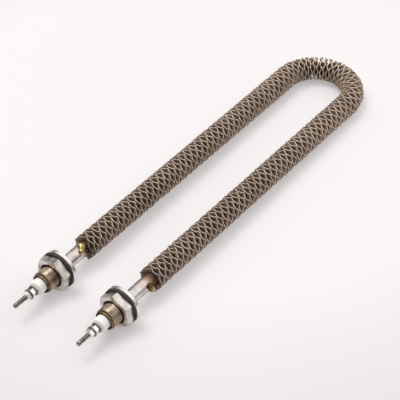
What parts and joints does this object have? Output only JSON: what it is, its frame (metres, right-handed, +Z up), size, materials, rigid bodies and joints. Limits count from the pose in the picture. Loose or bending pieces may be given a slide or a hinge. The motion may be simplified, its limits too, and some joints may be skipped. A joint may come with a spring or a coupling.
{
  "type": "tubular heating element",
  "caption": "U-shaped tubular air heating element with a crimped fin strip wound round the sheath, threaded mounting bushings with nuts and gaskets, and ceramic-insulated stud terminals.",
  "frame": {"origin": "midway between the two legs, in the plane of the collars' seat faces", "axes": "+Y along the legs towards the bend, +X across the legs, +Z up from the plane of the U; the terminals stand out along -Y"},
  "size_m": [0.096, 0.4007, 0.032],
  "materials": {
    "sheath_steel": "satin",
    "fin_steel": "satin",
    "braze": "satin",
    "collar_steel": "polished",
    "bushing_bronze": "satin",
    "gasket_rubber": "matt",
    "nut_steel": "satin",
    "seal": "matt",
    "ceramic": "glazed",
    "stud_steel": "satin",
    "washer_steel": "satin",
    "small_nut_steel": "polished",
    "coil_wire": "satin",
    "magnesia": "matt"
  },
  "bodies": {
    "root": {"sheath_tube": "sheath_steel", "fin_strip_left": "fin_steel", "fin_strip_bend": "fin_steel", "fin_strip_right": "fin_steel", "strip_braze_left": "braze", "strip_braze_right": "braze", "resistance_coil": "coil_wire", "magnesia_filling": "magnesia", "collar_left": "collar_steel", "mounting_bushing_left": "bushing_bronze", "gasket_left": "gasket_rubber", "panel_nut_left": "nut_steel", "end_seal_left": "seal", "ceramic_insulator_left": "ceramic", "terminal_pin_left": "stud_steel", "base_washer_left": "washer_steel", "base_nut_left": "small_nut_steel", "clamp_washer_left": "washer_steel", "terminal_nut_left": "small_nut_steel", "collar_right": "collar_steel", "mounting_bushing_right": "bushing_bronze", "gasket_right": "gasket_rubber", "panel_nut_right": "nut_steel", "end_seal_right": "seal", "ceramic_insulator_right": "ceramic", "terminal_pin_right": "stud_steel", "base_washer_right": "washer_steel", "base_nut_right": "small_nut_steel", "clamp_washer_right": "washer_steel", "terminal_nut_right": "small_nut_steel"}
  },
  "joints": []
}
